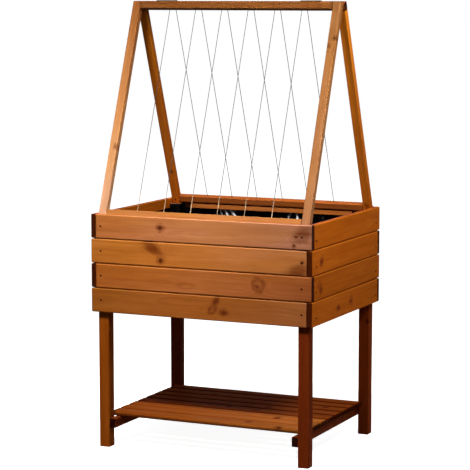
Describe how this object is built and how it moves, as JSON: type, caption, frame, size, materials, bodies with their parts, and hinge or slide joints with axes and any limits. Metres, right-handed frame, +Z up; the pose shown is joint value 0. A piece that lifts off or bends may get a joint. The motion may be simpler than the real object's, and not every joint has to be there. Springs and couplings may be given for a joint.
{
  "type": "planter with trellis",
  "caption": "Raised wooden planter box on square legs with a slatted lower shelf, a film liner and a hinged A-frame trellis strung with taut cords.",
  "frame": {"origin": "centre of the footprint, on the floor", "axes": "+Z up, the front faces -Y, +X to the right along the front"},
  "size_m": [0.85, 0.65, 1.5965],
  "materials": {
    "board": "planed pine with a honey-brown stain",
    "post": "planed pine with a darker brown stain",
    "floor": "rough sawn, stained",
    "slat": "planed pine, stained",
    "batten": "planed pine, stained",
    "film": "thin glossy film, crinkled",
    "cord": "thin twisted cord",
    "hinge": "dark brown, satin"
  },
  "bodies": {
    "planter": {"post_front_left": "post", "post_front_right": "post", "post_rear_left": "post", "post_rear_right": "post", "board_front_1": "board", "board_front_2": "board", "board_front_3": "board", "board_front_4": "board", "board_rear_1": "board", "board_rear_2": "board", "board_rear_3": "board", "board_rear_4": "board", "board_left_1": "board", "board_left_2": "board", "board_left_3": "board", "board_left_4": "board", "board_right_1": "board", "board_right_2": "board", "board_right_3": "board", "board_right_4": "board", "floor_batten_front": "floor", "floor_batten_rear": "floor", "floor_panel": "floor", "liner": "film", "shelf_bearer_left": "post", "shelf_bearer_right": "post", "shelf_slat_1": "slat", "shelf_slat_2": "slat", "shelf_slat_3": "slat", "shelf_slat_4": "slat", "shelf_slat_5": "slat", "shelf_slat_6": "slat", "shelf_slat_7": "slat", "shelf_slat_8": "slat"},
    "trellis_rear": {"trellis_leg_rear_left": "batten", "trellis_leg_rear_right": "batten", "trellis_top_bar_rear": "batten", "trellis_rail_rear": "batten", "cord_rear_1": "cord", "cord_rear_2": "cord", "cord_rear_3": "cord", "cord_rear_4": "cord", "cord_rear_5": "cord", "cord_rear_6": "cord", "hinge_leaf_rear_left": "hinge", "hinge_leaf_rear_right": "hinge", "hinge_pin_left": "hinge", "hinge_pin_right": "hinge"},
    "trellis_front": {"trellis_leg_front_left": "batten", "trellis_leg_front_right": "batten", "trellis_top_bar_front": "batten", "trellis_rail_front": "batten", "cord_front_1": "cord", "cord_front_2": "cord", "cord_front_3": "cord", "cord_front_4": "cord", "cord_front_5": "cord", "cord_front_6": "cord", "hinge_leaf_front_left": "hinge", "hinge_leaf_front_right": "hinge"}
  },
  "joints": [
    {"name": "trellis_lift", "type": "slide", "parent": "planter", "child": "trellis_rear", "axis": [0, 0, 1], "range_m": [0, 0.45]},
    {"name": "trellis_fold", "type": "hinge", "parent": "trellis_rear", "child": "trellis_front", "pos_m": [0, 0, 1.5884], "axis": [1, 0, 0], "range_deg": [0, 40]}
  ],
  "couplings": [
    {"joint": "trellis_fold", "follows": "trellis_lift", "rad_per_m": 1.55}
  ]
}
